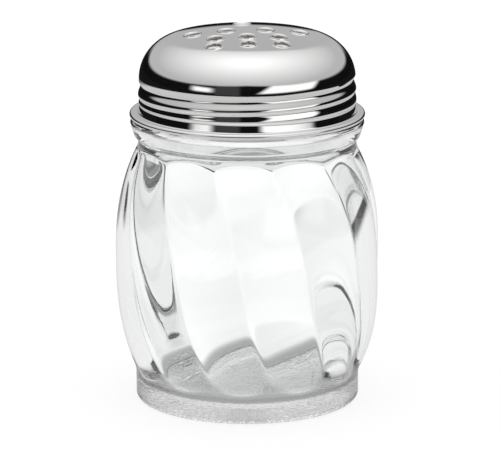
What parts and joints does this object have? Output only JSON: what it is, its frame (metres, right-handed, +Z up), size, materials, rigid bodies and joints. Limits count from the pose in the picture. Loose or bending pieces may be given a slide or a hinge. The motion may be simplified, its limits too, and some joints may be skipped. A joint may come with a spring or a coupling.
{
  "type": "cheese shaker",
  "caption": "Clear glass table shaker with a swirled, lobed barrel and a perforated metal dome lid that screws off.",
  "frame": {"origin": "centre of the foot on the table", "axes": "+Z up along the axis of the jar; -Y is the side the holes' short rows face; +X to the right of it"},
  "size_m": [0.0692, 0.0692, 0.0993],
  "materials": {
    "glass": "clear pressed glass, polished",
    "seal": "white, smooth",
    "lid_metal": "bright, polished"
  },
  "bodies": {
    "jar": {"jar": "glass"},
    "seal": {"lip_seal": "seal"},
    "lid": {"lid": "lid_metal"}
  },
  "joints": [
    {"name": "lid_rise", "type": "slide", "parent": "jar", "child": "seal", "axis": [0, 0, 1], "range_m": [0, 0.01621]},
    {"name": "lid_turn", "type": "hinge", "parent": "seal", "child": "lid", "pos_m": [0, 0, 0.08], "axis": [0, 0, 1], "range_deg": [0, 1620]}
  ],
  "couplings": [
    {"joint": "lid_rise", "follows": "lid_turn", "m_per_rad": 0.00057296}
  ]
}
